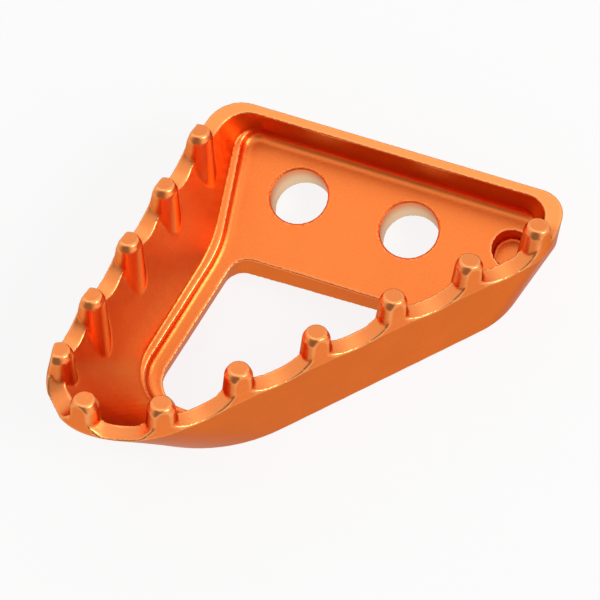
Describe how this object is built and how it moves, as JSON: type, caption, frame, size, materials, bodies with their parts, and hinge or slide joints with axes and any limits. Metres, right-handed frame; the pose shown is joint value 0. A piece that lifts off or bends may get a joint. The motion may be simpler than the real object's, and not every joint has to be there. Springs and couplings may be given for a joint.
{
  "type": "brake pedal extension",
  "caption": "Motorbike brake pedal step plate in orange anodised aluminium: a flat web with two screw holes inside a raised rim with leaning grip teeth, round a large opening",
  "frame": {"origin": "middle of the part's box at the level of the underside, where the plate seats on the pedal lever", "axes": "+X along the plain back rim towards the narrow end, +Y towards the back rim, +Z square to the web towards the grip teeth"},
  "size_m": [0.045, 0.0422, 0.0199],
  "materials": {
    "orange_aluminium": "orange anodising, satin"
  },
  "bodies": {
    "root": {"step_plate": "orange_aluminium"}
  },
  "joints": []
}
